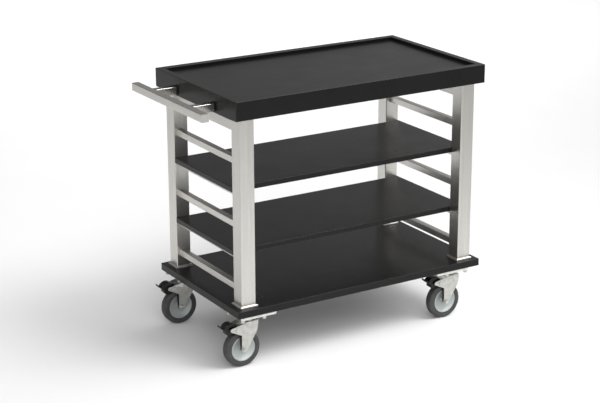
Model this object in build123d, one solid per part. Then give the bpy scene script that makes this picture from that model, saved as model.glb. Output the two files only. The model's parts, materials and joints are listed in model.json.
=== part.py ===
"""Serving trolley: a steel frame on braked swivel castors, a sunk top tray, two shelves and a push handle.

X runs along the length with the handle at the -X end, Y runs from the front to the rear, Z is up.
The origin is on the floor, under the middle of the whole trolley with its handle. Millimetres.
"""

import os
from math import acos, cos, degrees, radians, sin

from build123d import *

os.makedirs("parts", exist_ok=True)

# Clearances: between pieces that stay together, between turning pieces, and under a loose fit
FIT = 0.1
RUNNING = 0.3
LOOSE = 0.5

# Boards
LENGTH = 950
DEPTH = 542
CORNER_RADIUS = 3
EDGE_RADIUS = 1.5
RIM_THICKNESS = 24
RIM_HEIGHT = 61.5
DECK_THICKNESS = 18
DECK_RECESS = 10
SHELF_THICKNESS = 17
BASE_THICKNESS = 23.5

# Legs and their foot plates
LEG_WIDTH = 52
LEG_WALL = 2
LEG_RADIUS = 3
LEG_LENGTH = 651
FOOT_BORDER = 5
FOOT_THICKNESS = 6
FOOT_BEVEL = 2.5

# Heights above the top of the base board: the shelves' top faces and the middles of the end rails
SHELF_HEIGHTS = {"lower": 181.5, "upper": 391}
RAIL_HEIGHTS = {"lower": 51.5, "middle": 262.5, "upper": 473.5}

# The top rails are deeper than the others, and lie this far below the top of the legs
TOP_RAIL_HEIGHT = 33
TOP_RAIL_DROP = 71.5

# Tubes between the legs
RAIL_WIDTH = 22
BEARER_WIDTH = 17
TUBE_WALL = 1.5
TUBE_RADIUS = 2

# Push handle
HANDLE_REACH = 102
HANDLE_LENGTH = 477
HANDLE_WIDTH = 26
HANDLE_WALL = 2
HANDLE_RISE = 4.5
ARM_SPACING = 252
ARM_END = 8
SPACER_THICKNESS = 5
SPACER_WIDTH = 26
CAP_THICKNESS = 2
CAP_DEPTH = 8
HANDLE_BOLT = 8
HANDLE_BOLT_HEAD = 13
HANDLE_BOLT_HEAD_HEIGHT = 5

# Castor: wheel
WHEEL_DIAMETER = 125
WHEEL_WIDTH = 32
HUB_DIAMETER = 86
HUB_SETBACK = 1.5
HUB_RIM = 6
HUB_DISH = 12
BOSS_DIAMETER = 22
TREAD_RADIUS = 9
AXLE_DIAMETER = 8
AXLE_HEAD = 13
AXLE_HEAD_HEIGHT = 5

# Castor: fork, which trails behind its kingpin
TRAIL = 22
FORK_ROOM = 25
FORK_INSIDE = 42
FORK_WALL = 3
CROWN_THICKNESS = 5
CROWN_FRONT = 29
CROWN_BACK = 22
CHEEK_BACK = 14
KNEE_DROP = 32.5
KNEE_SETBACK = 3
KNEE_RADIUS = 45
CHEEK_END_RADIUS = 10
HORN_REACH = 18.5
HORN_RISE = 3
HORN_RADIUS = 6.5
HORN_TOP = 19.5
HORN_FOOT = 21
BEARING_HEIGHT = 20
BEARING_DIAMETER = 46
KINGPIN_DIAMETER = 12
KINGPIN_HEAD = 24
KINGPIN_HEAD_HEIGHT = 6

# Castor: top plate, which reaches further inboard of the kingpin, and the studs that hold it
PLATE_LENGTH = 131
PLATE_DEPTH = 108
PLATE_THICKNESS = 8
PLATE_RADIUS = 8
PLATE_OFFSET = 17
CASTOR_INSETS = {"left": 58.5, "right": 91.5}
STUD_SPACING_X = 78
STUD_SPACING_Y = 88
STUD_DIAMETER = 8
STUD_DEPTH = 12
STUD_END = 2
WASHER_DIAMETER = 16
WASHER_THICKNESS = 2
NUT_WIDTH = 13
NUT_HEIGHT = 7

# Castor: brake pedal on its pin, which lies off the tread at this angle up from +X
PIN_DIAMETER = 8
PIN_HEAD = 13
PIN_HEAD_HEIGHT = 2.5
PIN_STANDOFF = 13
PIN_ANGLE = 110
PEDAL_WIDTH = 28
PEDAL_BOSS_RADIUS = 8
PEDAL_TOE = 56
PEDAL_TOE_RISE = 20
PEDAL_TOE_THICKNESS = 3.5
PEDAL_LIP = 43
PEDAL_LIP_RISE = 10
PEDAL_HUMP = 14
PEDAL_HUMP_RISE = 22
PEDAL_HEEL = 43
PEDAL_HEEL_RISE = 4
PEDAL_NOTCH = 33
PEDAL_NOTCH_DROP = 3.5
PEDAL_LOBE = 34.5
PEDAL_LOBE_DROP = 8
PEDAL_BELLY = 32
PEDAL_BELLY_DROP = 13.5
PEDAL_SHOE = 26
PEDAL_SHOE_DROP = 17

# Levels, from the floor up
wheel_radius = WHEEL_DIAMETER / 2
crown_bottom = WHEEL_DIAMETER + FORK_ROOM
crown_top = crown_bottom + CROWN_THICKNESS
bearing_bottom = crown_top + LOOSE
plate_bottom = bearing_bottom + BEARING_HEIGHT
base_bottom = plate_bottom + PLATE_THICKNESS
base_top = base_bottom + BASE_THICKNESS
leg_bottom = base_top + FOOT_THICKNESS
deck_bottom = leg_bottom + LEG_LENGTH
deck_top = deck_bottom + DECK_THICKNESS
rim_top = deck_top + DECK_RECESS
rim_bottom = rim_top - RIM_HEIGHT

# Places in plan: the boards are centred on board_x, the legs stand against the inside of the rim
board_x = HANDLE_REACH / 2
inside_length = LENGTH - 2 * RIM_THICKNESS
inside_depth = DEPTH - 2 * RIM_THICKNESS
leg_x = (inside_length - LEG_WIDTH) / 2
leg_y = (inside_depth - LEG_WIDTH) / 2
leg_gap = inside_depth - 2 * LEG_WIDTH
castor_y = (DEPTH - PLATE_DEPTH) / 2
ENDS = {"left": -1, "right": 1}
SIDES = {"front": -1, "rear": 1}
CORNERS = {f"{side}_{end}": (ENDS[end], SIDES[side]) for side in SIDES for end in ENDS}
UPWARDS = (Align.CENTER, Align.CENTER, Align.MIN)


def save(node, *shapes):
    """Write one node, from one solid or from a group of like solids."""
    export_step(shapes[0] if len(shapes) == 1 else Compound(children=list(shapes)), f"parts/{node}.step")


def block(length, depth, bottom, top, x=0, y=0):
    """An upright block between two levels, centred on x and y."""
    return Pos(x, y, bottom) * Box(length, depth, top - bottom, align=UPWARDS)


def upright_edges(shape):
    return shape.edges().filter_by(Axis.Z)


def top_edges(shape):
    return shape.edges().group_by(Axis.Z)[-1]


def board(length, depth, bottom, top, x=0, y=0):
    """A flat panel with eased corners and an eased top edge."""
    panel = block(length, depth, bottom, top, x, y)
    panel = fillet(upright_edges(panel), CORNER_RADIUS)
    return fillet(top_edges(panel), EDGE_RADIUS)


def tube(width, height, length, wall, radius):
    """A tube along Y with round outer corners, centred on the origin."""
    outer = Box(width, length, height)
    outer = fillet(outer.edges().filter_by(Axis.Y), radius)
    return outer - Box(width - 2 * wall, length, height - 2 * wall)


def rod(diameter, bottom, top):
    """A round rod along Z between two levels."""
    return Pos(0, 0, bottom) * Cylinder(diameter / 2, top - bottom, align=UPWARDS)


def hexagon(width, bottom, top):
    """A six-sided head or nut along Z between two levels, with its width across flats."""
    return Pos(0, 0, bottom) * extrude(RegularPolygon(width / 2, 6, major_radius=False), top - bottom)


# The boards lie one above another: base, two shelves between the front and rear legs, then the tray's deck
castor_x = {end: board_x + sx * (LENGTH / 2 - CASTOR_INSETS[end]) for end, sx in ENDS.items()}
castor_places = {f"{side}_{end}": (castor_x[end], SIDES[side] * castor_y) for side in SIDES for end in ENDS}
stud_places = [
    (x + dx * STUD_SPACING_X / 2, y + dy * STUD_SPACING_Y / 2)
    for x, y in castor_places.values()
    for dx in (-1, 1)
    for dy in (-1, 1)
]
base = board(LENGTH, DEPTH, base_bottom, base_top, board_x)
for x, y in stud_places:
    base -= Pos(x, y, 0) * rod(STUD_DIAMETER + 2 * FIT, base_bottom, base_bottom + STUD_DEPTH + FIT)
save("base_board", base)

for name, height in SHELF_HEIGHTS.items():
    shelf_top = base_top + height
    shelf_bottom = shelf_top - SHELF_THICKNESS
    save(f"{name}_shelf", board(inside_length, leg_gap, shelf_bottom, shelf_top, board_x))
    bearer = tube(BEARER_WIDTH, BEARER_WIDTH, leg_gap, TUBE_WALL, TUBE_RADIUS)
    bearer = Pos(board_x, 0, shelf_bottom - BEARER_WIDTH / 2) * bearer
    save(f"{name}_shelf_bearers", *(Pos(sx * leg_x, 0, 0) * bearer for sx in ENDS.values()))

save("tray_deck", block(inside_length, inside_depth, deck_bottom, deck_top, board_x))

# The tray's rim: one eased ring, mitred at the corners into four boards
rim = block(LENGTH, DEPTH, rim_bottom, rim_top, board_x)
rim = fillet(upright_edges(rim), CORNER_RADIUS)
rim -= block(inside_length, inside_depth, rim_bottom, rim_top, board_x)
rim = fillet(top_edges(rim), EDGE_RADIUS)
handle_z = rim_bottom + HANDLE_RISE + HANDLE_WIDTH / 2
arm_places = {side: sy * ARM_SPACING / 2 for side, sy in SIDES.items()}
for y in arm_places.values():
    bolt_hole = Rot(0, -90, 0) * rod(HANDLE_BOLT + 2 * FIT, 0, RIM_THICKNESS)
    rim -= Pos(board_x - inside_length / 2, y, handle_z) * bolt_hole
along = Polyline(
    (-LENGTH / 2, -DEPTH / 2),
    (LENGTH / 2, -DEPTH / 2),
    (LENGTH / 2 - RIM_THICKNESS, RIM_THICKNESS - DEPTH / 2),
    (RIM_THICKNESS - LENGTH / 2, RIM_THICKNESS - DEPTH / 2),
    close=True,
)
across = Polyline(
    (-LENGTH / 2, -DEPTH / 2),
    (-LENGTH / 2, DEPTH / 2),
    (RIM_THICKNESS - LENGTH / 2, DEPTH / 2 - RIM_THICKNESS),
    (RIM_THICKNESS - LENGTH / 2, RIM_THICKNESS - DEPTH / 2),
    close=True,
)
front_slice = Pos(board_x, 0, rim_bottom) * extrude(make_face(along), RIM_HEIGHT)
left_slice = Pos(board_x, 0, rim_bottom) * extrude(make_face(across), RIM_HEIGHT)
save("tray_front_board", rim & front_slice)
save("tray_rear_board", rim & mirror(front_slice, Plane.XZ))
save("tray_left_board", rim & left_slice)
save("tray_right_board", rim & mirror(left_slice, Plane.YZ.offset(board_x)))

# Square tube legs, welded to bevelled foot plates on the base board
feet = []
for name, (sx, sy) in CORNERS.items():
    x = board_x + sx * leg_x
    y = sy * leg_y
    leg = block(LEG_WIDTH, LEG_WIDTH, leg_bottom, deck_bottom, x, y)
    leg = fillet(upright_edges(leg), LEG_RADIUS)
    bore = LEG_WIDTH - 2 * LEG_WALL
    save(f"leg_{name}", leg - block(bore, bore, leg_bottom, deck_bottom, x, y))
    foot_width = LEG_WIDTH + 2 * FOOT_BORDER
    foot = block(foot_width, foot_width, base_top, leg_bottom, x, y)
    feet.append(chamfer(top_edges(foot), FOOT_BEVEL))
save("foot_plates", *feet)

# Rails at both ends, welded between the front and the rear leg
rail = tube(RAIL_WIDTH, RAIL_WIDTH, leg_gap, TUBE_WALL, TUBE_RADIUS)
top_rail = tube(RAIL_WIDTH, TOP_RAIL_HEIGHT, leg_gap, TUBE_WALL, TUBE_RADIUS)
for end, sx in ENDS.items():
    x = board_x + sx * leg_x
    for name, height in RAIL_HEIGHTS.items():
        save(f"{end}_{name}_rail", Pos(x, 0, base_top + height) * rail)
    save(f"{end}_top_rail", Pos(x, 0, deck_bottom - TOP_RAIL_DROP) * top_rail)

# Push handle: a capped bar on two arms, bolted through the tray's left board with a spacer behind each arm
rim_face = board_x - LENGTH / 2
bar_x = rim_face - HANDLE_REACH + HANDLE_WIDTH / 2
tube_length = HANDLE_LENGTH - 2 * CAP_THICKNESS
bore = HANDLE_WIDTH - 2 * HANDLE_WALL
bar = tube(HANDLE_WIDTH, HANDLE_WIDTH, tube_length, HANDLE_WALL, TUBE_RADIUS)
save("handle_bar", Pos(bar_x, 0, handle_z) * bar)
cap = Box(HANDLE_WIDTH, CAP_THICKNESS, HANDLE_WIDTH, align=(Align.CENTER, Align.MIN, Align.CENTER))
cap = fillet(cap.edges().filter_by(Axis.Y), TUBE_RADIUS)
plug = bore - 2 * FIT
cap += Box(plug, CAP_DEPTH, plug, align=(Align.CENTER, Align.MAX, Align.CENTER))
rear_cap = Pos(bar_x, tube_length / 2, handle_z) * cap
save("handle_end_caps", rear_cap, mirror(rear_cap, Plane.XZ))

arm_outer = bar_x + HANDLE_WIDTH / 2
arm_inner = rim_face - SPACER_THICKNESS
arm_length = arm_inner - arm_outer
arm = Rot(0, 0, 90) * tube(HANDLE_WIDTH, HANDLE_WIDTH, arm_length, HANDLE_WALL, TUBE_RADIUS)
arm += Pos(arm_length / 2, 0, 0) * Box(ARM_END, bore, bore, align=(Align.MAX, Align.CENTER, Align.CENTER))
arm -= Pos(arm_length / 2, 0, 0) * Rot(0, -90, 0) * rod(HANDLE_BOLT + 2 * FIT, 0, ARM_END)
spacer = Rot(0, 90, 0) * block(SPACER_WIDTH, SPACER_WIDTH, 0, SPACER_THICKNESS)
spacer -= Rot(0, 90, 0) * rod(HANDLE_BOLT + 2 * FIT, 0, SPACER_THICKNESS)
bolt = rod(HANDLE_BOLT, 0, RIM_THICKNESS + SPACER_THICKNESS + ARM_END)
bolt += hexagon(HANDLE_BOLT_HEAD, -HANDLE_BOLT_HEAD_HEIGHT, 0)
bolt = Rot(0, -90, 0) * bolt
for side, y in arm_places.items():
    save(f"handle_arm_{side}", Pos((arm_outer + arm_inner) / 2, y, handle_z) * arm)
save("handle_spacers", *(Pos(arm_inner, y, handle_z) * spacer for y in arm_places.values()))
save("handle_bolts", *(Pos(rim_face + RIM_THICKNESS, y, handle_z) * bolt for y in arm_places.values()))

# Castor pieces, with the kingpin on the Z axis and the wheel trailing towards -X
fork_half = FORK_INSIDE / 2
fork_face = fork_half + FORK_WALL
pin_distance = wheel_radius + PIN_STANDOFF
pin_x = pin_distance * cos(radians(PIN_ANGLE)) - TRAIL
pin_z = pin_distance * sin(radians(PIN_ANGLE)) + wheel_radius


def crosswise(shape, x, z):
    """Lay a piece that was made along Z along Y instead, through the point x, z."""
    return Pos(x, 0, z) * Rot(90, 0, 0) * shape


plates = {}
for end, sx in ENDS.items():
    plate = block(PLATE_LENGTH, PLATE_DEPTH, plate_bottom, base_bottom, -sx * PLATE_OFFSET)
    plate = fillet(upright_edges(plate), PLATE_RADIUS)
    plate -= rod(KINGPIN_DIAMETER + 2 * FIT, plate_bottom, base_bottom)
    for dx in (-1, 1):
        for dy in (-1, 1):
            stud_hole = rod(STUD_DIAMETER + 2 * LOOSE, plate_bottom, base_bottom)
            plate -= Pos(dx * STUD_SPACING_X / 2, dy * STUD_SPACING_Y / 2, 0) * stud_hole
    plates[end] = plate

bearing = rod(BEARING_DIAMETER, bearing_bottom, plate_bottom)
bearing -= rod(KINGPIN_DIAMETER + 2 * FIT, bearing_bottom, plate_bottom)

kingpin_bottom = crown_bottom - LOOSE
kingpin = rod(KINGPIN_DIAMETER, kingpin_bottom, base_bottom)
kingpin += rod(KINGPIN_HEAD, kingpin_bottom - KINGPIN_HEAD_HEIGHT, kingpin_bottom)

nut_top = plate_bottom - WASHER_THICKNESS
nut_bottom = nut_top - NUT_HEIGHT
stud = rod(STUD_DIAMETER, nut_bottom - STUD_END, base_bottom + STUD_DEPTH)
stud += rod(WASHER_DIAMETER, nut_top, plate_bottom)
stud += hexagon(NUT_WIDTH, nut_bottom, nut_top)

# The fork's cheeks are blades from the crown down to the axle, with a horn that carries the pedal's pin


def touching(point, centre, radius, side):
    """Where a straight line from the point touches the circle, on its left (1) or its right (-1)."""
    reach = Vector(*centre) - Vector(*point)
    swing = degrees(acos(radius / reach.length))
    return Vector(*centre) - (reach.normalized() * radius).rotate(Axis.Z, -side * swing)


axle_centre = (-TRAIL, wheel_radius)
horn_centre = (pin_x - HORN_REACH, pin_z + HORN_RISE)
blade_back = -TRAIL - CHEEK_END_RADIUS
horn_foot = (blade_back, pin_z - HORN_FOOT)
horn_top = (-CHEEK_BACK, pin_z + HORN_TOP)
knee = (CROWN_FRONT - KNEE_SETBACK, crown_top - KNEE_DROP)
blade_front = touching(knee, axle_centre, CHEEK_END_RADIUS, 1)
horn_under = touching(horn_foot, horn_centre, HORN_RADIUS, 1)
horn_over = touching(horn_top, horn_centre, HORN_RADIUS, -1)
cheek_wire = [
    Polyline((blade_back, wheel_radius), horn_foot, horn_under),
    ThreePointArc(horn_under, (horn_centre[0] - HORN_RADIUS, horn_centre[1]), horn_over),
    Polyline(horn_over, horn_top, (-CHEEK_BACK, crown_top), (CROWN_FRONT, crown_top), knee, blade_front),
    ThreePointArc(blade_front, (-TRAIL, wheel_radius - CHEEK_END_RADIUS), (blade_back, wheel_radius)),
]
cheek_outline = make_face(cheek_wire)
cheek_outline = fillet(cheek_outline.vertices().sort_by_distance(Vertex(*knee, 0))[0], KNEE_RADIUS)
cheek_outline -= Pos(*axle_centre) * Circle(AXLE_DIAMETER / 2 + FIT)
cheek_outline -= Pos(pin_x, pin_z) * Circle(PIN_DIAMETER / 2 + FIT)
cheek = Pos(0, fork_face, 0) * extrude(Plane.XZ * cheek_outline, FORK_WALL)
crown_middle = (CROWN_FRONT - CROWN_BACK) / 2
crown = block(CROWN_BACK + CROWN_FRONT, FORK_INSIDE, crown_bottom, crown_top, crown_middle)
crown -= rod(KINGPIN_DIAMETER + 2 * RUNNING, crown_bottom, crown_top)
fork = crown + cheek + mirror(cheek, Plane.XZ)

axle = rod(AXLE_DIAMETER, -fork_face, fork_face)
axle += hexagon(AXLE_HEAD, fork_face, fork_face + AXLE_HEAD_HEIGHT)
axle += hexagon(AXLE_HEAD, -fork_face - AXLE_HEAD_HEIGHT, -fork_face)
axle = crosswise(axle, -TRAIL, wheel_radius)

pin = rod(PIN_DIAMETER, -fork_face, fork_face)
pin += rod(PIN_HEAD, fork_face, fork_face + PIN_HEAD_HEIGHT)
pin += rod(PIN_HEAD, -fork_face - PIN_HEAD_HEIGHT, -fork_face)
pin = crosswise(pin, pin_x, pin_z)

# The wheel is turned about the axle: a dished hub with a long boss, and a tyre with a rounded tread
hub_radius = HUB_DIAMETER / 2
hub_half = WHEEL_WIDTH / 2 - HUB_SETBACK
boss_radius = BOSS_DIAMETER / 2
boss_half = fork_half - LOOSE
web_half = hub_half - HUB_DISH
bore_radius = AXLE_DIAMETER / 2 + RUNNING
rim_radius = hub_radius - HUB_RIM
hub_profile = Polyline(
    (bore_radius, 0),
    (bore_radius, boss_half),
    (boss_radius, boss_half),
    (boss_radius + LOOSE, web_half),
    (boss_radius + HUB_RIM, web_half),
    (rim_radius, hub_half),
    (hub_radius, hub_half),
    (hub_radius, 0),
    close=True,
)
hub_face = make_face(hub_profile)
hub_face += mirror(hub_face, Plane.XZ)
hub = revolve(Plane.XZ * hub_face, Axis.Z)
tyre_face = Rectangle(wheel_radius - hub_radius, WHEEL_WIDTH, align=(Align.MIN, Align.CENTER))
tyre_face = Pos(hub_radius, 0) * tyre_face
tyre_face = fillet(tyre_face.vertices().group_by(Axis.X)[-1], TREAD_RADIUS)
tyre = revolve(Plane.XZ * tyre_face, Axis.Z)
hub = crosswise(hub, -TRAIL, wheel_radius)
tyre = crosswise(tyre, -TRAIL, wheel_radius)

# The brake pedal: a boss on the pin, a rounded hump, an upturned toe, and a lobe whose shoe faces the tread
toe = (-PEDAL_TOE, PEDAL_TOE_RISE)
toe_under = (-PEDAL_TOE, PEDAL_TOE_RISE - PEDAL_TOE_THICKNESS)
lip = (-PEDAL_LIP, PEDAL_LIP_RISE)
heel = (-PEDAL_HEEL, PEDAL_HEEL_RISE)
notch = (-PEDAL_NOTCH, -PEDAL_NOTCH_DROP)
lobe = (-PEDAL_LOBE, -PEDAL_LOBE_DROP)
shoe = (-PEDAL_SHOE, -PEDAL_SHOE_DROP)
boss_end = (PEDAL_BOSS_RADIUS, 0)
pedal_wire = [
    Polyline(lip, toe, toe_under, heel, notch, lobe),
    ThreePointArc(lobe, (-PEDAL_BELLY, -PEDAL_BELLY_DROP), shoe),
    Polyline(shoe, (0, -PEDAL_BOSS_RADIUS), boss_end),
    ThreePointArc(boss_end, (-PEDAL_HUMP, PEDAL_HUMP_RISE), lip),
]
pedal = extrude(make_face(pedal_wire), PEDAL_WIDTH / 2, both=True)
pedal += Cylinder(PEDAL_BOSS_RADIUS, FORK_INSIDE - 2 * LOOSE)
pedal -= Cylinder(PIN_DIAMETER / 2 + RUNNING, FORK_INSIDE)
pedal = crosswise(pedal, pin_x, pin_z)

pieces = dict(fork=fork, axle=axle, hub=hub, tyre=tyre, pedal=pedal, pedal_pin=pin)
for name, (x, y) in castor_places.items():
    save(f"castor_{name}_plate", Pos(x, y, 0) * plates[name.split("_")[1]])
    for piece, shape in pieces.items():
        save(f"castor_{name}_{piece}", Pos(x, y, 0) * shape)
save("castor_kingpins", *(Pos(x, y, 0) * kingpin for x, y in castor_places.values()))
save("castor_bearing_rings", *(Pos(x, y, 0) * bearing for x, y in castor_places.values()))
save("castor_studs", *(Pos(x, y, 0) * stud for x, y in stud_places))
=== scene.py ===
"""Serving trolley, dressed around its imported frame: black boards, brushed steel, and four braked castors."""

import json
from math import cos, pi, radians

import bmesh
import bpy
from mathutils import Matrix, Vector


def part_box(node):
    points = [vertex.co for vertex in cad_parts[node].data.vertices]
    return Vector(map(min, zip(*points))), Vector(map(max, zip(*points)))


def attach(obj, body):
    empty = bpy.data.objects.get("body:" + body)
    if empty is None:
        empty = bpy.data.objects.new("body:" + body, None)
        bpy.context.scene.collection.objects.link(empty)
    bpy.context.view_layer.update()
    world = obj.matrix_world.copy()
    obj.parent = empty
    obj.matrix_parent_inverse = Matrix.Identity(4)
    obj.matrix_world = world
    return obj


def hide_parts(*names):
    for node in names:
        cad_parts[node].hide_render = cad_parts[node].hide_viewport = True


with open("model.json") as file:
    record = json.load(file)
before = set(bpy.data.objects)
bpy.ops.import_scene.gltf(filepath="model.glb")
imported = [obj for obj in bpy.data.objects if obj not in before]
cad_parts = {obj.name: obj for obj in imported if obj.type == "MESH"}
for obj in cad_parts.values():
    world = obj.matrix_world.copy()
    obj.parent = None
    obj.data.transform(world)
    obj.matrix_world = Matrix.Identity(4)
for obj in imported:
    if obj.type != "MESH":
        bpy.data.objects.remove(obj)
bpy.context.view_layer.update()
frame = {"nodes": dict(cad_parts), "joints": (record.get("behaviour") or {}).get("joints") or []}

nodes = frame["nodes"]
scene = bpy.context.scene
bpy.ops.object.select_all(action="DESELECT")


# Base board, two shelves and the sunk top tray: chipboard panels pressed between sheets of black laminate.
# The tray is a deck between four mitred rim boards, and the shelves lie between the front and rear legs.
# Handling leaves the laminate satin with faint cloudy marks, and its eased edges are painted a little paler in
# patches, a painted highlight.


def new_finish(name):
    """A material with its shader, and the piece's own coordinates in metres for the pattern on it."""
    material = bpy.data.materials.new(name)
    material.use_nodes = True
    tree = material.node_tree
    coordinates = tree.nodes.new("ShaderNodeTexCoord").outputs["Object"]
    return material, tree, tree.nodes["Principled BSDF"], coordinates


def set_value(tree, socket, value):
    """Give a node's input either a plain value or the output of another node."""
    if isinstance(value, bpy.types.NodeSocket):
        tree.links.new(value, socket)
    else:
        socket.default_value = value


def reckon(tree, operation, first, second=0.0):
    """One sum on two numbers."""
    node = tree.nodes.new("ShaderNodeMath")
    node.operation = operation
    set_value(tree, node.inputs[0], first)
    set_value(tree, node.inputs[1], second)
    return node.outputs[0]


def reckon_vector(tree, operation, first, second=(0.0, 0.0, 0.0)):
    """One sum on two triples of numbers."""
    node = tree.nodes.new("ShaderNodeVectorMath")
    node.operation = operation
    set_value(tree, node.inputs[0], first)
    set_value(tree, node.inputs[1], second)
    return node.outputs[0]


def between(tree, value, low, high, to_low, to_high):
    """Spread a value between two limits over a new span, and hold it at the ends."""
    node = tree.nodes.new("ShaderNodeMapRange")
    for socket, number in zip(node.inputs[:5], (value, low, high, to_low, to_high)):
        set_value(tree, socket, number)
    return node.outputs["Result"]


def speckle(tree, coordinates, per_metre, detail=2.0, stretch=(1, 1, 1)):
    """Noise with so many grains to the metre, drawn out along an axis where its stretch is small."""
    mapping = tree.nodes.new("ShaderNodeMapping")
    mapping.inputs["Scale"].default_value = stretch
    tree.links.new(coordinates, mapping.inputs["Vector"])
    node = tree.nodes.new("ShaderNodeTexNoise")
    node.inputs["Scale"].default_value = per_metre
    node.inputs["Detail"].default_value = detail
    tree.links.new(mapping.outputs["Vector"], node.inputs["Vector"])
    return node.outputs["Fac"]


def shades(tree, value, dark, light):
    """A colour between a dark and a light one, as the value goes from 0 to 1."""
    node = tree.nodes.new("ShaderNodeMix")
    node.data_type = "RGBA"
    set_value(tree, node.inputs["Factor"], value)
    set_value(tree, node.inputs["A"], dark)
    set_value(tree, node.inputs["B"], light)
    return node.outputs["Result"]


def relief(tree, shader, height, depth, strength=1.0):
    """Raise the surface by a height from 0 to 1, which stands for so many metres of depth."""
    node = tree.nodes.new("ShaderNodeBump")
    node.inputs["Strength"].default_value = strength
    node.inputs["Distance"].default_value = depth
    tree.links.new(height, node.inputs["Height"])
    tree.links.new(node.outputs["Normal"], shader.inputs["Normal"])


def edge_highlight_band(tree, coordinates, node_name, width):
    """1 on the outside edges of a board and 0 a little way in, from the board's own box."""
    low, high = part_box(node_name)
    offset = reckon_vector(tree, "SUBTRACT", coordinates, tuple((low + high) / 2))
    inward = reckon_vector(tree, "SUBTRACT", tuple((high - low) / 2), reckon_vector(tree, "ABSOLUTE", offset))
    split = tree.nodes.new("ShaderNodeSeparateXYZ")
    tree.links.new(inward, split.inputs[0])
    x, y, z = split.outputs
    nearest = reckon(tree, "MINIMUM", reckon(tree, "MAXIMUM", x, y), reckon(tree, "MAXIMUM", y, z))
    nearest = reckon(tree, "MINIMUM", nearest, reckon(tree, "MAXIMUM", x, z))
    return between(tree, nearest, 0.0, width, 1.0, 0.0)


edge_highlight_width = 0.0016


def black_laminate(node_name):
    """Satin black laminate with cloudy marks, and a patchy painted highlight along the edges of its own board.
    """
    material, tree, shader, coordinates = new_finish(f"{node_name}_laminate")
    clouds = speckle(tree, coordinates, 9, 4.0)
    grain = speckle(tree, coordinates, 1500, 1.0)
    # The eased edges are painted paler in patches: a painted highlight.
    edge_band = edge_highlight_band(tree, coordinates, node_name, edge_highlight_width)
    patchy_edge_highlight = reckon(tree, "MULTIPLY", edge_band, speckle(tree, coordinates, 45, 3.0))
    black = shades(tree, clouds, (0.0035, 0.0035, 0.0034, 1), (0.0045, 0.0045, 0.0043, 1))
    colour = shades(tree, patchy_edge_highlight, black, (0.055, 0.054, 0.052, 1))
    tree.links.new(colour, shader.inputs["Base Color"])
    tree.links.new(between(tree, clouds, 0.3, 0.7, 0.27, 0.32), shader.inputs["Roughness"])
    shader.inputs["Specular IOR Level"].default_value = 0.25
    relief(tree, shader, grain, 0.00006, 0.5)
    return material


boards = ["base_board", "lower_shelf", "upper_shelf", "tray_deck"]
boards += [f"tray_{side}_board" for side in ("front", "rear", "left", "right")]
for board in boards:
    nodes[board].data.materials[0] = black_laminate(board)


# Legs: square stainless tube, brushed along its length, so the streaks run up and down.
# Each stands on a foot plate with bevelled edges, ground smooth, and is welded to it all round.
# The steel is bright enough to mirror the boards beside it.
leg_width, leg_corner, leg_bead = 0.052, 0.003, 0.0013
bright_steel, dull_steel = (0.66, 0.648, 0.612, 1), (0.575, 0.563, 0.53, 1)


def brushed_steel(name, along, light=bright_steel, dark=dull_steel, rough=(0.26, 0.36)):
    """Stainless steel with its brush marks drawn out along one axis."""
    material, tree, shader, coordinates = new_finish(name)
    fine = speckle(tree, coordinates, 1, 3.0, tuple(9 if axis == along else 1700 for axis in "XYZ"))
    broad = speckle(tree, coordinates, 1, 2.0, tuple(2.5 if axis == along else 160 for axis in "XYZ"))
    streaks = reckon(tree, "ADD", reckon(tree, "MULTIPLY", fine, 0.55), reckon(tree, "MULTIPLY", broad, 0.45))
    streaks = between(tree, streaks, 0.33, 0.67, 0.0, 1.0)
    tree.links.new(shades(tree, streaks, dark, light), shader.inputs["Base Color"])
    tree.links.new(between(tree, streaks, 0.0, 1.0, rough[1], rough[0]), shader.inputs["Roughness"])
    shader.inputs["Metallic"].default_value = 1.0
    relief(tree, shader, fine, 0.00003, 0.4)
    return material


leg_steel = brushed_steel("brushed_leg_steel", "Z")
corners = ["front_left", "front_right", "rear_left", "rear_right"]
for corner in corners:
    nodes[f"leg_{corner}"].data.materials[0] = leg_steel
nodes["foot_plates"].data.materials[0] = brushed_steel("ground_foot_steel", "X", rough=(0.48, 0.58))


def by_hand(piece):
    """Make one piece the only selected and active one, in edit mode with nothing picked."""
    bpy.ops.object.select_all(action="DESELECT")
    piece.select_set(True)
    bpy.context.view_layer.objects.active = piece
    bpy.ops.object.mode_set(mode="EDIT")
    bpy.ops.mesh.select_all(action="DESELECT")


def pick(kind, test):
    """Select the faces or edges of the edited piece that pass a test, and no others."""
    bpy.ops.mesh.select_mode(type=kind)
    bpy.ops.mesh.select_all(action="DESELECT")
    mesh = bmesh.from_edit_mesh(bpy.context.object.data)
    mesh.normal_update()
    for element in mesh.faces if kind == "FACE" else mesh.edges:
        if test(element):
            element.select_set(True)
    bmesh.update_edit_mesh(bpy.context.object.data)


def done(piece, smooth_angle=35):
    """Leave edit mode, settle the piece's place into its mesh, and smooth its rounded faces."""
    bpy.ops.object.mode_set(mode="OBJECT")
    bpy.ops.object.transform_apply(location=True, rotation=True, scale=True)
    bpy.ops.object.shade_smooth_by_angle(angle=radians(smooth_angle))
    return piece


def weld_ring(width, height, corner, bead):
    """A bead of weld round the end of a tube, lying on the XY plane and rising along +Z."""
    outside = (width + 2 * bead, height + 2 * bead, bead)
    bpy.ops.object.select_all(action="DESELECT")
    bpy.ops.mesh.primitive_cube_add(size=1, location=(0, 0, bead / 2), scale=outside)
    ring = bpy.context.object
    bpy.ops.object.transform_apply(location=True, rotation=True, scale=True)
    by_hand(ring)
    pick("EDGE", lambda e: abs(e.verts[0].co.z - e.verts[1].co.z) > bead / 2)
    bpy.ops.mesh.bevel(offset=corner + bead, segments=4, affect="EDGES")
    pick("EDGE", lambda e: all(v.co.z > bead * 0.99 for v in e.verts))
    bpy.ops.mesh.bevel(offset=bead * 0.98, segments=4, affect="EDGES")
    return done(ring)


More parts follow.
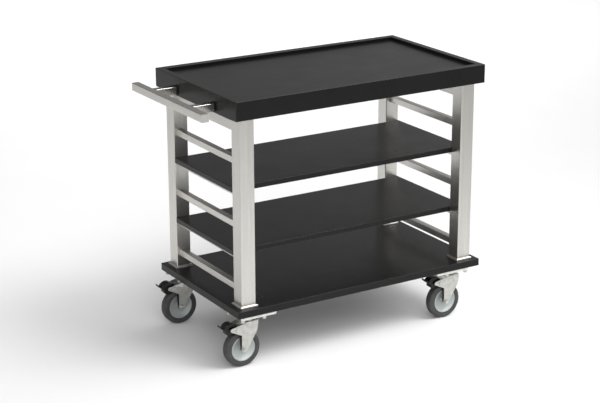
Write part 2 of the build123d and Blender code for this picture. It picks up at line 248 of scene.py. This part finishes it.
def copies(master, places, name, body):
    """Copy a piece to each place, each with its own mesh, and join them into one piece on a body."""
    made = []
    for place in places:
        mesh = master.data.copy()
        mesh.transform(place)
        copy = bpy.data.objects.new(name, mesh)
        scene.collection.objects.link(copy)
        made.append(copy)
    bpy.ops.object.select_all(action="DESELECT")
    for copy in made:
        copy.select_set(True)
    bpy.context.view_layer.objects.active = made[0]
    if len(made) > 1:
        bpy.ops.object.join()
    joined = bpy.context.object
    joined.name = name
    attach(joined, body)
    return joined


def weld_steel():
    """Bright steel with the ripples of the weld pool and a trace of straw-coloured heat tint."""
    material, tree, shader, coordinates = new_finish("weld_bead_steel")
    ripples = speckle(tree, coordinates, 420, 1.0)
    tint = speckle(tree, coordinates, 60, 2.0)
    tinted = between(tree, tint, 0.4, 0.7, 0.0, 1.0)
    colour = shades(tree, tinted, (0.6, 0.59, 0.56, 1), (0.58, 0.53, 0.43, 1))
    tree.links.new(colour, shader.inputs["Base Color"])
    tree.links.new(between(tree, ripples, 0.3, 0.7, 0.24, 0.42), shader.inputs["Roughness"])
    shader.inputs["Metallic"].default_value = 1.0
    relief(tree, shader, ripples, 0.0002, 0.5)
    return material


weld_finish = weld_steel()
leg_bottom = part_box("leg_front_left")[0].z
leg_ring = weld_ring(leg_width, leg_width, leg_corner, leg_bead)
leg_ring.data.materials.append(weld_finish)
leg_places = []
for corner in corners:
    low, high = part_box(f"leg_{corner}")
    leg_places.append(Matrix.Translation(((low.x + high.x) / 2, (low.y + high.y) / 2, leg_bottom)))
copies(leg_ring, leg_places, "leg_foot_welds", "trolley_frame")
bpy.data.objects.remove(leg_ring)


# Rails at both ends and the bearers under the shelves: thinner square tube, brushed along its length.
# They are cut square and welded between the front and the rear leg, with a small bead all round each end.
rail_width, top_rail_height, rail_bead = 0.022, 0.033, 0.0012
bearer_width, bearer_bead = 0.017, 0.001
tube_corner = 0.002
rail_steel = brushed_steel("brushed_rail_steel", "Y", rough=(0.28, 0.38))
rails = [f"{end}_{level}_rail" for end in ("left", "right") for level in ("lower", "middle", "upper", "top")]
bearers = ["lower_shelf_bearers", "upper_shelf_bearers"]
for tube in rails + bearers:
    nodes[tube].data.materials[0] = rail_steel

towards_rear = Matrix.Rotation(radians(-90), 4, "X")
towards_front = Matrix.Rotation(radians(90), 4, "X")
rail_ring = weld_ring(rail_width, rail_width, tube_corner, rail_bead)
top_rail_ring = weld_ring(rail_width, top_rail_height, tube_corner, rail_bead)
for ring, levels, name in (
    (rail_ring, ("lower", "middle", "upper"), "rail_welds"),
    (top_rail_ring, ("top",), "top_rail_welds"),
):
    ring.data.materials.append(weld_finish)
    for end in ("left", "right"):
        ends = []
        for level in levels:
            low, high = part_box(f"{end}_{level}_rail")
            x, z = (low.x + high.x) / 2, (low.z + high.z) / 2
            ends.append(Matrix.Translation((x, low.y, z)) @ towards_rear)
            ends.append(Matrix.Translation((x, high.y, z)) @ towards_front)
        copies(ring, ends, f"{end}_{name}", "trolley_frame")
    bpy.data.objects.remove(ring)

bearer_ring = weld_ring(bearer_width, bearer_width, tube_corner, bearer_bead)
bearer_ring.data.materials.append(weld_finish)
ends = []
for bearer in bearers:
    low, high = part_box(bearer)
    for x in (low.x + bearer_width / 2, high.x - bearer_width / 2):
        z = (low.z + high.z) / 2
        ends.append(Matrix.Translation((x, low.y, z)) @ towards_rear)
        ends.append(Matrix.Translation((x, high.y, z)) @ towards_front)
copies(bearer_ring, ends, "bearer_welds", "trolley_frame")
bpy.data.objects.remove(bearer_ring)


# Push handle: a square stainless bar with capped ends, on two short arms that are welded to it.
# A moulded black spacer sits between each arm and the tray, and a bolt from inside the tray holds them.
arm_width, arm_bead = 0.0255, 0.0011
spacer_easing = 0.001
bar_steel = brushed_steel("brushed_bar_steel", "Y")
# The arms take a darker copy of the bar's steel: painted shade that tones down their highlights.
shaded_arm_steel = brushed_steel("brushed_arm_steel", "X", (0.6, 0.59, 0.56, 1), (0.5, 0.49, 0.465, 1), (0.19, 0.26))
nodes["handle_bar"].data.materials[0] = bar_steel
nodes["handle_end_caps"].data.materials[0] = brushed_steel("ground_cap_steel", "Z", rough=(0.24, 0.36))
arms = ["handle_arm_front", "handle_arm_rear"]
for arm in arms:
    nodes[arm].data.materials[0] = shaded_arm_steel

arm_ring = weld_ring(arm_width, arm_width, tube_corner, arm_bead)
arm_ring.data.materials.append(weld_finish)
along_arm = Matrix.Rotation(radians(90), 4, "Y")
ends = []
for arm in arms:
    low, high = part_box(arm)
    ends.append(Matrix.Translation((low.x, (low.y + high.y) / 2, (low.z + high.z) / 2)) @ along_arm)
copies(arm_ring, ends, "handle_arm_welds", "trolley_frame")
bpy.data.objects.remove(arm_ring)


def moulded_black(name, rough=(0.3, 0.42), shine=0.5):
    """Black moulded plastic with the fine spark-eroded grain of its mould."""
    material, tree, shader, coordinates = new_finish(name)
    grain = speckle(tree, coordinates, 1300, 2.0)
    scuffs = speckle(tree, coordinates, 55, 4.0)
    scuffed = between(tree, scuffs, 0.45, 0.75, 0.0, 1.0)
    colour = shades(tree, scuffed, (0.006, 0.006, 0.006, 1), (0.014, 0.014, 0.014, 1))
    tree.links.new(colour, shader.inputs["Base Color"])
    tree.links.new(between(tree, scuffs, 0.3, 0.7, rough[0], rough[1]), shader.inputs["Roughness"])
    shader.inputs["Specular IOR Level"].default_value = shine
    relief(tree, shader, grain, 0.00008, 0.5)
    return material


def eased_copy(node_name, width, segments=2):
    """A copy of a CAD node with its sharp edges rounded, as pressing, moulding or tumbling leaves them."""
    piece = bpy.data.objects.new(f"{node_name}_eased", nodes[node_name].data.copy())
    scene.collection.objects.link(piece)
    by_hand(piece)
    bpy.ops.mesh.customdata_custom_splitnormals_clear()
    bpy.ops.mesh.select_all(action="SELECT")
    bpy.ops.mesh.remove_doubles(threshold=0.000002)
    bpy.ops.mesh.dissolve_limited(angle_limit=radians(0.5))
    bpy.ops.object.mode_set(mode="OBJECT")
    rounding = piece.modifiers.new("eased_edges", "BEVEL")
    rounding.width = width
    rounding.segments = segments
    rounding.limit_method = "ANGLE"
    rounding.angle_limit = radians(40)
    bpy.ops.object.modifier_apply(modifier=rounding.name)
    bpy.ops.object.shade_smooth_by_angle(angle=radians(30))
    return piece


spacers = eased_copy("handle_spacers", spacer_easing)
spacers.name = "handle_spacers_moulded"
spacers.data.materials[0] = moulded_black("spacer_plastic", (0.3, 0.42), 0.9)
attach(spacers, "trolley_frame")
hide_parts("handle_spacers")


# Castor plates, studs, kingpins and bearing rings: zinc-plated steel, all fixed under the base board.
# Each plate is held by four studs with washers and nuts, and the kingpin is riveted through its middle.
# The plating is satin, with the soft blotches that it leaves on pressed steel.
plate_easing, stud_easing, kingpin_easing = 0.0008, 0.0005, 0.0012


def zinc_plate(name, rough=(0.3, 0.45), dark=(0.5, 0.497, 0.47, 1), light=(0.62, 0.616, 0.585, 1)):
    """Zinc plating with soft blotches and fine pits."""
    material, tree, shader, coordinates = new_finish(name)
    blotches = speckle(tree, coordinates, 70, 3.0)
    pits = speckle(tree, coordinates, 1900, 1.0)
    colour = shades(tree, between(tree, blotches, 0.3, 0.7, 0.0, 1.0), dark, light)
    tree.links.new(colour, shader.inputs["Base Color"])
    tree.links.new(between(tree, blotches, 0.3, 0.7, rough[1], rough[0]), shader.inputs["Roughness"])
    shader.inputs["Metallic"].default_value = 1.0
    relief(tree, shader, pits, 0.00004, 0.4)
    return material


plate_zinc = zinc_plate("castor_plate_zinc", dark=(0.66, 0.655, 0.62, 1), light=(0.8, 0.795, 0.76, 1))
nut_zinc = zinc_plate("castor_nut_zinc", (0.22, 0.36))
for node_name, finish, width in (
    *((f"castor_{corner}_plate", plate_zinc, plate_easing) for corner in corners),
    ("castor_studs", nut_zinc, stud_easing),
    ("castor_kingpins", nut_zinc, kingpin_easing),
):
    piece = eased_copy(node_name, width)
    piece.data.materials[0] = finish
    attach(piece, "trolley_frame")
    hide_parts(node_name)
nodes["handle_bolts"].data.materials[0] = nut_zinc

bearing_low, bearing_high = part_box("castor_bearing_rings")
kingpin_hole = 0.0061
race_foot, race_radius, groove_radius, race_top = 0.021, 0.023, 0.0205, 0.0218
race_profile = [(race_radius, 0.0022), (race_radius, 0.0085)]
race_profile += [(groove_radius, 0.0092), (groove_radius, 0.0112)]
race_profile += [(race_radius, 0.0119), (race_radius, 0.0185), (race_top, bearing_high.z - bearing_low.z)]
bpy.ops.object.select_all(action="DESELECT")
bpy.ops.mesh.primitive_circle_add(vertices=64, radius=race_foot, fill_type="NGON")
bearing = bpy.context.object
by_hand(bearing)
bpy.ops.mesh.select_all(action="SELECT")
radius, height = race_foot, 0.0
for next_radius, next_height in race_profile:
    bpy.ops.mesh.extrude_region_move(TRANSFORM_OT_translate={"value": (0, 0, next_height - height)})
    bpy.ops.transform.resize(value=(next_radius / radius, next_radius / radius, 1))
    radius, height = next_radius, next_height
bpy.ops.mesh.select_all(action="SELECT")
bpy.ops.mesh.normals_make_consistent(inside=False)
pick("FACE", lambda f: len(f.verts) > 4 and f.normal.z > 0.9)
bpy.ops.mesh.inset(thickness=radius - kingpin_hole, depth=0)
pick("FACE", lambda f: len(f.verts) > 4 and f.normal.z < -0.9)
bpy.ops.mesh.inset(thickness=race_foot - kingpin_hole, depth=0)
pick("FACE", lambda f: len(f.verts) > 4)
bpy.ops.mesh.bridge_edge_loops()
done(bearing)
# The races are painted darker than the other zinc, as painted shade in the gap under each plate.
shaded_race_zinc = zinc_plate("bearing_race_steel", (0.3, 0.45), (0.3, 0.297, 0.285, 1), (0.4, 0.396, 0.38, 1))
bearing.data.materials.append(shaded_race_zinc)
places = []
for joint in frame["joints"]:
    if joint["name"].endswith("_swivel"):
        x, y = joint["pos_m"][:2]
        places.append(Matrix.Translation((x, y, bearing_low.z)))
races = copies(bearing, places, "castor_bearing_races", "trolley_frame")
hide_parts("castor_bearing_rings")
bpy.data.objects.remove(bearing)


# Castor forks with their axle bolts and pedal pins: pressed from zinc-plated sheet, edges rolled over.
# The axle bolt clamps both cheeks, and the pedal pin is riveted through the horns. A black plastic strip
# inside each cheek shows as a dark line behind the blade, and where it covers the inside of the far cheek it
# is painted shade.
fork_easing, bolt_easing = 0.0009, 0.0007
fork_zinc = zinc_plate("castor_fork_zinc", (0.32, 0.46))
for corner in corners:
    for part, finish, width in (
        ("fork", fork_zinc, fork_easing),
        ("axle", nut_zinc, bolt_easing),
        ("pedal_pin", nut_zinc, bolt_easing),
    ):
        node_name = f"castor_{corner}_{part}"
        piece = eased_copy(node_name, width, 3)
        piece.data.materials[0] = finish
        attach(piece, f"castor_{corner}")
        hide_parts(node_name)


def slab(outline, bottom, top):
    """A flat piece with this outline, rising along Z between two levels, left in edit mode."""
    bpy.ops.object.select_all(action="DESELECT")
    bpy.ops.mesh.primitive_circle_add(vertices=len(outline), radius=0.01, fill_type="NGON")
    piece = bpy.context.object
    for vertex, (x, y) in zip(piece.data.vertices, outline):
        vertex.co = (x, y, bottom)
    by_hand(piece)
    bpy.ops.mesh.select_all(action="SELECT")
    bpy.ops.mesh.extrude_region_move(TRANSFORM_OT_translate={"value": (0, 0, top - bottom)})
    bpy.ops.mesh.select_all(action="SELECT")
    bpy.ops.mesh.normals_make_consistent(inside=False)
    return piece


def runs_flat(edge):
    """Whether an edge of a slab runs round its top or its bottom."""
    return abs(edge.verts[0].co.z - edge.verts[1].co.z) < 0.001


def wheel_place(corner):
    """Where a wheel's own middle goes, with its axis laid along Y."""
    low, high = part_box(f"castor_{corner}_tyre")
    return Matrix.Translation((low + high) / 2) @ Matrix.Rotation(radians(90), 4, "X")


cheek_inside = 0.021
guard_inside = 0.0186
guard_easing = 0.0004
guard_outline = [(-0.0165, 0.057), (-0.0136, -0.001), (-0.0119, -0.001)]
guard_outline += [(-0.0119, 0.006), (-0.008, 0.014), (-0.008, 0.057)]
# Black strips inside the cheeks: a dark line behind each blade, and painted shade over the far cheek's inside.
guard = slab(guard_outline, guard_inside, cheek_inside)
pick("EDGE", runs_flat)
bpy.ops.mesh.bevel(offset=guard_easing, segments=2, affect="EDGES")
done(guard)
guard.data.materials.append(moulded_black("cheek_strip_plastic", (0.4, 0.55), 0.25))
across = Matrix.Translation((0, 0, -guard_inside - cheek_inside))
for corner in corners:
    places = [wheel_place(corner), wheel_place(corner) @ across]
    copies(guard, places, f"castor_{corner}_dark_cheek_strips", f"castor_{corner}")
bpy.data.objects.remove(guard)


# Castor wheels: a dished hub of silver-grey nylon, turned out of the mould with a raised rim and a long boss,
# and a dark grey rubber tyre with a rounded tread, moulded onto it. The tyre has a fine groove round each
# side and along both edges of its tread.
wheel_radius, wheel_width = 0.0625, 0.032
hub_radius, hub_width, hub_easing = 0.043, 0.029, 0.0007
tread_rounding = 0.009
turns = 112

# Each step goes further in from the edge of a face: its width, and how far it rises or falls
rim_steps = [(0.0035, 0), (0.001, -0.0009)]
dish_steps = [(0.0036, -0.0028), (0.007, -0.0036), (0.008, -0.0034), (0.0076, -0.0013)]
boss_steps = [(0.0013, 0.016), (0.001, 0.002), (0.0022, 0), (0.0006, -0.0012), (0.0029, 0)]
side_groove = [(0.0022, 0), (0.0006, -0.0005)]
tread_groove = [(0.0063, 0), (0.0002, -0.0004)]


def round_the_tread(edge):
    """Whether an edge is one of the two rings where the tread meets a side."""
    same_side = edge.verts[0].co.z * edge.verts[1].co.z > 0
    return same_side and all(v.co.to_2d().length > wheel_radius - 0.0005 for v in edge.verts)


def on_a_side(face):
    """Whether a face lies flat on the left or right side of the tyre."""
    return all(abs(v.co.z) > wheel_width / 2 - 0.00001 for v in face.verts)


def on_the_tread(face):
    """Whether a face lies on the straight middle band of the tread."""
    outward = face.normal.to_2d().length > 0.999
    return outward and face.calc_center_median().to_2d().length > wheel_radius - 0.001


def step_in(steps):
    """Work the picked faces in from their edge, step by step."""
    for width, rise in steps:
        bpy.ops.mesh.inset(thickness=width, depth=rise)


bpy.ops.object.select_all(action="DESELECT")
bpy.ops.mesh.primitive_cylinder_add(vertices=turns, radius=hub_radius, depth=hub_width, end_fill_type="NGON")
hub = bpy.context.object
by_hand(hub)
pick("FACE", lambda f: abs(f.normal.z) > 0.9)
step_in(rim_steps + dish_steps + boss_steps)
bpy.ops.mesh.bridge_edge_loops()
bpy.ops.object.mode_set(mode="OBJECT")
rounding = hub.modifiers.new("moulded_edges", "BEVEL")
rounding.width = hub_easing
rounding.segments = 3
rounding.limit_method = "ANGLE"
rounding.angle_limit = radians(28)
bpy.ops.object.modifier_apply(modifier=rounding.name)
done(hub)

bpy.ops.object.select_all(action="DESELECT")
bpy.ops.mesh.primitive_cylinder_add(
    vertices=turns, radius=wheel_radius, depth=wheel_width, end_fill_type="NGON"
)
tyre = bpy.context.object
by_hand(tyre)
pick("FACE", lambda f: abs(f.normal.z) > 0.9)
bpy.ops.mesh.inset(thickness=wheel_radius - hub_radius, depth=0)
bpy.ops.mesh.bridge_edge_loops()
bpy.ops.mesh.select_all(action="SELECT")
bpy.ops.mesh.normals_make_consistent(inside=False)
pick("EDGE", round_the_tread)
bpy.ops.mesh.bevel(offset=tread_rounding, segments=8, affect="EDGES")
pick("FACE", on_a_side)
step_in(side_groove)
pick("FACE", on_the_tread)
step_in(tread_groove)
done(tyre)


def silver_grey_nylon():
    """Hub nylon with a metallic pigment and a faint haze."""
    material, tree, shader, coordinates = new_finish("hub_nylon")
    haze = speckle(tree, coordinates, 40, 3.0)
    grain = speckle(tree, coordinates, 1600, 1.0)
    colour = shades(tree, haze, (0.4, 0.43, 0.425, 1), (0.5, 0.53, 0.525, 1))
    tree.links.new(colour, shader.inputs["Base Color"])
    tree.links.new(between(tree, haze, 0.3, 0.7, 0.54, 0.64), shader.inputs["Roughness"])
    shader.inputs["Metallic"].default_value = 0.72
    relief(tree, shader, grain, 0.00005, 0.4)
    return material


def grey_rubber():
    """Dark grey rubber with a little dust on it."""
    material, tree, shader, coordinates = new_finish("tyre_rubber")
    dust = speckle(tree, coordinates, 38, 4.0)
    grain = speckle(tree, coordinates, 900, 2.0)
    dusty = between(tree, dust, 0.35, 0.7, 0.0, 1.0)
    colour = shades(tree, dusty, (0.032, 0.032, 0.032, 1), (0.05, 0.05, 0.0485, 1))
    tree.links.new(colour, shader.inputs["Base Color"])
    tree.links.new(between(tree, grain, 0.3, 0.7, 0.52, 0.72), shader.inputs["Roughness"])
    relief(tree, shader, grain, 0.0001, 0.5)
    return material


hub.data.materials.append(silver_grey_nylon())
tyre.data.materials.append(grey_rubber())
for corner in corners:
    for master, part, slot in ((hub, "hub", "wheel_hub"), (tyre, "tyre", "tyre")):
        name = f"castor_{corner}_{part}_moulded"
        piece = copies(master, [wheel_place(corner)], name, f"wheel_{corner}")
        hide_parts(f"castor_{corner}_{part}")
bpy.data.objects.remove(hub)
bpy.data.objects.remove(tyre)


# Brake pedals: black moulded levers with a rounded hump, an upturned toe with ribs across it, and below a
# notch a lobe that ends in the brake shoe over the tread. A boss on the pin spaces each lever between the
# fork's horns, and treading on the toe tips the brake shoe towards the tyre.
pedal_half, pedal_easing = 0.014, 0.0015
pedal_boss, boss_length, boss_easing = 0.008, 0.041, 0.0008
pin_hole, boss_seat = 0.0043, 0.006
rib_size, rib_margin, rib_easing = 0.0014, 0.002, 0.3


def bow(start, middle, end, steps):
    """Points along the round arc from start through middle to end, without its first one."""
    (x1, y1), (x2, y2), (x3, y3) = start, middle, end
    scale = 2 * (x1 * (y2 - y3) + x2 * (y3 - y1) + x3 * (y1 - y2))
    s1, s2, s3 = x1 * x1 + y1 * y1, x2 * x2 + y2 * y2, x3 * x3 + y3 * y3
    centre = Vector(((s1 * (y2 - y3) + s2 * (y3 - y1) + s3 * (y1 - y2)) / scale,
                     (s1 * (x3 - x2) + s2 * (x1 - x3) + s3 * (x2 - x1)) / scale))
    first, last = Vector(start) - centre, Vector(end) - centre
    sweep = -first.angle_signed(last)
    if (sweep > 0) != (-first.angle_signed(Vector(middle) - centre) > 0):
        sweep -= 2 * pi if sweep > 0 else -2 * pi
    return [centre + Matrix.Rotation(sweep * step / steps, 2) @ first for step in range(1, steps + 1)]


# Points of the pedal's outline, from the middle of its pin
toe, toe_under = (-0.0545, 0.0195), (-0.054, 0.013)
lip, heel, notch = (-0.043, 0.01), (-0.043, 0.004), (-0.033, -0.0035)
lobe, belly, shoe = (-0.0345, -0.008), (-0.032, -0.0135), (-0.026, -0.017)
boss_end, hump = (pedal_boss, 0.0), (-0.0105, 0.0228)
outline = [Vector(point) for point in (lip, toe, toe_under, heel, notch, lobe)]
outline += bow(lobe, belly, shoe, 5)
outline += [Vector((0.0, -pedal_boss)), Vector(boss_end)]
outline += bow(boss_end, hump, lip, 14)[:-1]

pedal = slab(outline, -pedal_half, pedal_half)
pick("EDGE", runs_flat)
bpy.ops.mesh.bevel(offset=pedal_easing, segments=3, affect="EDGES")
done(pedal, 40)

bpy.ops.object.select_all(action="DESELECT")
bpy.ops.mesh.primitive_cylinder_add(vertices=48, radius=boss_seat, depth=4 * pedal_half, end_fill_type="NGON")
drill = bpy.context.object
bpy.ops.object.select_all(action="DESELECT")
pedal.select_set(True)
bpy.context.view_layer.objects.active = pedal
drilling = pedal.modifiers.new("boss_seat", "BOOLEAN")
drilling.operation = "DIFFERENCE"
drilling.solver = "EXACT"
drilling.object = drill
bpy.ops.object.modifier_apply(modifier=drilling.name)
bpy.data.objects.remove(drill)

bpy.ops.object.select_all(action="DESELECT")
bpy.ops.mesh.primitive_cylinder_add(vertices=48, radius=pedal_boss, depth=boss_length, end_fill_type="NGON")
boss = bpy.context.object
by_hand(boss)
pick("EDGE", lambda e: e.verts[0].co.z * e.verts[1].co.z > 0)
bpy.ops.mesh.bevel(offset=boss_easing, segments=2, affect="EDGES")
pick("FACE", lambda f: abs(f.normal.z) > 0.99)
bpy.ops.mesh.inset(thickness=pedal_boss - boss_easing - pin_hole, depth=0)
bpy.ops.mesh.bridge_edge_loops()
done(boss)

# The ribs are eased before their scale is applied, so their easing is a share of their width
ribs = []
rib_length = 2 * (pedal_half - rib_margin)
slope = Vector(toe) - Vector(lip)
for share in (0.3, 0.55, 0.8):
    foot = Vector(lip) + slope * share
    bpy.ops.object.select_all(action="DESELECT")
    bpy.ops.mesh.primitive_cube_add(
        size=1, location=(foot.x, foot.y, 0), scale=(rib_size, rib_size, rib_length)
    )
    rib = bpy.context.object
    rib.rotation_euler.z = slope.to_3d().to_track_quat("X", "Z").to_euler().z
    by_hand(rib)
    pick("EDGE", lambda e: abs(e.verts[0].co.z - e.verts[1].co.z) > 0.5)
    bpy.ops.mesh.bevel(offset=rib_easing, segments=2, affect="EDGES")
    ribs.append(done(rib))
bpy.ops.object.select_all(action="DESELECT")
for part in (boss, *ribs, pedal):
    part.select_set(True)
bpy.context.view_layer.objects.active = pedal
bpy.ops.object.join()
pedal.data.materials.append(moulded_black("pedal_plastic", (0.2, 0.34), 0.28))
for corner in corners:
    low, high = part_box(f"castor_{corner}_pedal_pin")
    place = Matrix.Translation((low + high) / 2) @ Matrix.Rotation(radians(90), 4, "X")
    piece = copies(pedal, [place], f"castor_{corner}_pedal_moulded", f"pedal_{corner}")
    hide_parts(f"castor_{corner}_pedal")
bpy.data.objects.remove(pedal)


# The studio: one pale floor that runs out of sight, dim walls that are paler to the left and the right,
# a wide glow high on the right, a softbox over the front right corner, a broader one left of the front,
# and a large one over the floor behind.
floor_size = 80
wall_strength, side_strength = 0.12, 0.83
glow_right, glow_up = 70, 45
glow_strength, glow_edge, glow_core = 1.63, 44, 12
lamp_distance, lamp_spread = 5, 80
backdrop_height = 4.2
bpy.ops.object.select_all(action="DESELECT")
bpy.ops.mesh.primitive_plane_add(size=floor_size)
floor = bpy.context.object
floor.name = "studio_floor"
floor_finish, tree, shader, coordinates = new_finish("floor_paint")
pale = shades(tree, speckle(tree, coordinates, 3), (0.86, 0.86, 0.86, 1), (0.88, 0.88, 0.88, 1))
tree.links.new(pale, shader.inputs["Base Color"])
shader.inputs["Roughness"].default_value = 0.9
shader.inputs["Specular IOR Level"].default_value = 0.0
floor.data.materials.append(floor_finish)


def heading(to_the_right, up):
    """The direction so many degrees to the right of straight ahead of the front, and so many up."""
    turn = Matrix.Rotation(radians(to_the_right), 3, "Z") @ Matrix.Rotation(radians(-up), 3, "X")
    return turn @ Vector((0, -1, 0))


sky = bpy.data.worlds.new("studio_light")
sky.use_nodes = True
tree = sky.node_tree
direction = tree.nodes.new("ShaderNodeTexCoord").outputs["Generated"]
split = tree.nodes.new("ShaderNodeSeparateXYZ")
tree.links.new(direction, split.inputs[0])
sideways = split.outputs["X"]
to_the_sides = reckon(tree, "MULTIPLY", sideways, sideways)
walls = reckon(tree, "ADD", wall_strength, reckon(tree, "MULTIPLY", side_strength, to_the_sides))
towards_glow = tree.nodes.new("ShaderNodeVectorMath")
towards_glow.operation = "DOT_PRODUCT"
towards_glow.inputs[1].default_value = heading(glow_right, glow_up)
tree.links.new(direction, towards_glow.inputs[0])
glow_from, glow_to = cos(radians(glow_edge)), cos(radians(glow_core))
glow = between(tree, towards_glow.outputs["Value"], glow_from, glow_to, 0.0, glow_strength)
tree.links.new(reckon(tree, "ADD", walls, glow), tree.nodes["Background"].inputs["Strength"])
tree.nodes["Background"].inputs["Color"].default_value = (1.0, 1.0, 1.0, 1)
scene.world = sky


def softbox(name, place, target, size, power, spread):
    """A square lamp of so many watts, turned towards its target."""
    lamp = bpy.data.lights.new(name, "AREA")
    lamp.size = size
    lamp.energy = power
    lamp.spread = radians(spread)
    lamp_stand = bpy.data.objects.new(name, lamp)
    lamp_stand.location = place
    lamp_stand.rotation_euler = (target - place).to_track_quat("-Z", "Y").to_euler()
    scene.collection.objects.link(lamp_stand)


trolley_middle = Vector((-0.1, 0.0, 0.3))
for name, to_the_right, up, size, power in (
    ("key_softbox", 37, 56, 2.4, 29),
    ("fill_softbox", -20, 34, 4, 34),
):
    place = trolley_middle + lamp_distance * heading(to_the_right, up)
    softbox(name, place, trolley_middle, size, power, lamp_spread)
behind = Vector((2.6, 4.6, 0.0))
above = behind + Vector((0, 0, backdrop_height))
softbox("backdrop_softbox", above, behind, size=5.0, power=70, spread=100)

camera = bpy.data.cameras.new("photo_camera")
camera.sensor_width = 36
camera.lens = 99.354
camera.clip_end = 200
camera_stand = bpy.data.objects.new("photo_camera", camera)
camera_stand.location = (-2.80024, -4.52409, 2.1574)
camera_stand.rotation_euler = (radians(72.0099), radians(0.1617), radians(-31.5225))
scene.collection.objects.link(camera_stand)
scene.camera = camera_stand
scene.view_settings.view_transform = "Standard"
